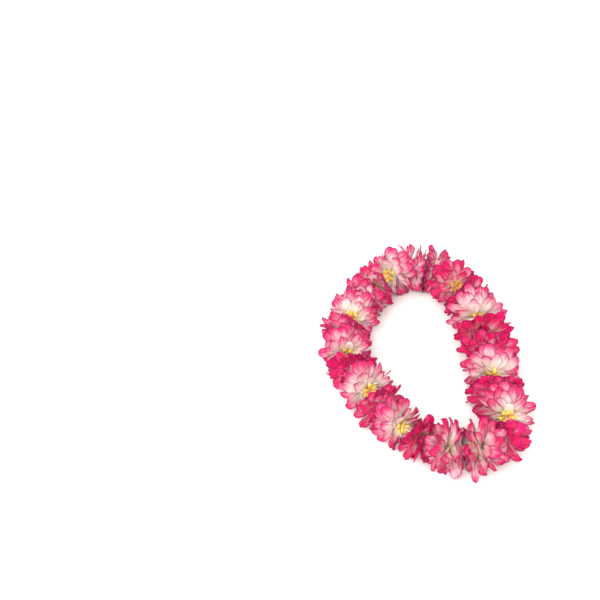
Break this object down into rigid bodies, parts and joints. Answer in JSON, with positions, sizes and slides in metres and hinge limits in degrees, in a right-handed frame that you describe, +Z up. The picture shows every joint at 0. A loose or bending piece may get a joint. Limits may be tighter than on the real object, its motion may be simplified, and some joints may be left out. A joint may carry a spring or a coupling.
{
  "type": "flower lei",
  "caption": "Lei of ruffled pink blooms with white throats and yellow hearts, threaded on a knotted string and laid flat in a long loop.",
  "frame": {"origin": "bottom centre of the bounding box, on the surface that the lei lies on", "axes": "+Z up from the surface, +Y along the loop's long way towards its far end, +X to the right of someone looking along +Y"},
  "size_m": [0.2988, 0.441, 0.0809],
  "materials": {
    "petal": "thin dyed petal cloth, pale at the base, pink with fine streaks, magenta at the tip with a thin dark edge",
    "heart": "yellow to orange petal cloth, matte",
    "thread": "twisted off-white cotton string"
  },
  "bodies": {
    "root": {"string": "thread", "bloom_01": "petal", "bloom_02": "petal", "bloom_03": "petal", "bloom_04": "petal", "bloom_05": "petal", "bloom_06": "petal", "bloom_07": "petal", "bloom_08": "petal", "bloom_09": "petal", "bloom_10": "petal", "bloom_11": "petal", "bloom_12": "petal", "bloom_13": "petal", "bloom_14": "petal", "bloom_15": "petal", "bloom_16": "petal", "bloom_17": "petal", "bloom_18": "petal", "bloom_19": "petal", "bloom_20": "petal", "bloom_21": "petal", "bloom_22": "petal", "bloom_23": "petal", "bloom_24": "petal", "heart_01": "heart", "heart_02": "heart", "heart_03": "heart", "heart_04": "heart", "heart_05": "heart", "heart_06": "heart", "heart_07": "heart", "heart_08": "heart", "heart_09": "heart", "heart_10": "heart", "heart_11": "heart", "heart_12": "heart", "heart_13": "heart", "heart_14": "heart", "heart_15": "heart", "heart_16": "heart", "heart_17": "heart", "heart_18": "heart", "heart_19": "heart", "heart_20": "heart", "heart_21": "heart", "heart_22": "heart", "heart_23": "heart", "heart_24": "heart"}
  },
  "joints": []
}
